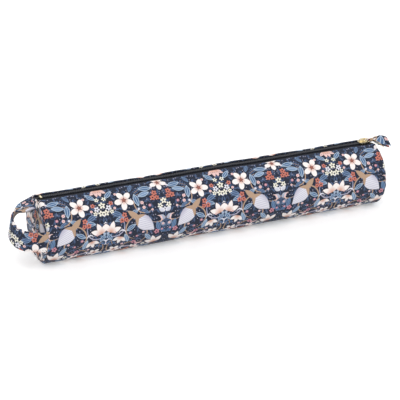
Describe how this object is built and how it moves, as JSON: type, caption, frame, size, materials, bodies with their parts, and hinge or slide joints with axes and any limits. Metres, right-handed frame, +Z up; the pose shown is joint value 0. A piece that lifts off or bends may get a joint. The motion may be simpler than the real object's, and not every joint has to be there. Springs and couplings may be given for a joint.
{
  "type": "zipped round brush case",
  "caption": "Long round padded cloth case for brushes, with a full-length zip along the top, a tied cloth zip pull and a cloth carrying loop at one end.",
  "frame": {"origin": "middle of the flattened strip under the tube that the case rests on", "axes": "+X along the tube towards the closed end of the zip, -Y to the front, +Z up through the zip"},
  "size_m": [0.4464, 0.072, 0.0774],
  "materials": {
    "printed_cotton": "matt woven cotton, navy with an all-over floral print",
    "wadding": "soft matt wadding",
    "lining_cotton": "plain matt woven cotton",
    "binding_tape": "matt bias binding",
    "backing_cotton": "plain matt woven cotton",
    "zip_tape": "matt woven tape",
    "zip_teeth": "satin nylon",
    "pale_gold_metal": "polished pale gold plating",
    "twine": "matt twisted cotton twine"
  },
  "bodies": {
    "case": {"outer_panel": "printed_cotton", "padding": "wadding", "lining": "lining_cotton", "left_end_panel": "printed_cotton", "right_end_panel": "printed_cotton", "left_end_padding": "wadding", "right_end_padding": "wadding", "left_end_lining": "lining_cotton", "right_end_lining": "lining_cotton", "left_seam_binding": "binding_tape", "right_seam_binding": "binding_tape", "handle_strap": "printed_cotton", "handle_backing": "backing_cotton", "zip_tape_left_end": "zip_tape", "zip_tape_right_end": "zip_tape", "zip_chain_left_end": "zip_teeth", "zip_chain_right_end": "zip_teeth", "bottom_stop": "pale_gold_metal", "top_stops": "pale_gold_metal"},
    "slider": {"slider_body": "pale_gold_metal", "slider_bail": "pale_gold_metal"},
    "puller": {"pull_ring": "pale_gold_metal"},
    "leaf": {"leaf_pull": "printed_cotton", "leaf_tie": "twine"},
    "front_lip": {"front_lip_cloth": "printed_cotton", "front_lip_padding": "wadding", "front_lip_lining": "lining_cotton", "front_zip_tape": "zip_tape", "front_zip_teeth": "zip_teeth"},
    "back_lip": {"back_lip_cloth": "printed_cotton", "back_lip_padding": "wadding", "back_lip_lining": "lining_cotton", "back_zip_tape": "zip_tape", "back_zip_teeth": "zip_teeth"}
  },
  "joints": [
    {"name": "zip_slide", "type": "slide", "parent": "case", "child": "slider", "axis": [-1, 0, 0], "range_m": [0, 0.374]},
    {"name": "puller_lift", "type": "hinge", "parent": "slider", "child": "puller", "pos_m": [0.187, 0, 0.07418], "axis": [0, -1, 0], "range_deg": [0, 150]},
    {"name": "leaf_swing", "type": "hinge", "parent": "puller", "child": "leaf", "pos_m": [0.1904, 0, 0.07418], "axis": [0, 0, 1], "range_deg": [-40, 110]},
    {"name": "front_lip_open", "type": "hinge", "parent": "case", "child": "front_lip", "pos_m": [0, -0.036, 0.03458], "axis": [1, 0, 0], "range_deg": [0, 30]},
    {"name": "back_lip_open", "type": "hinge", "parent": "case", "child": "back_lip", "pos_m": [0, 0.036, 0.03458], "axis": [-1, 0, 0], "range_deg": [0, 30]}
  ]
}
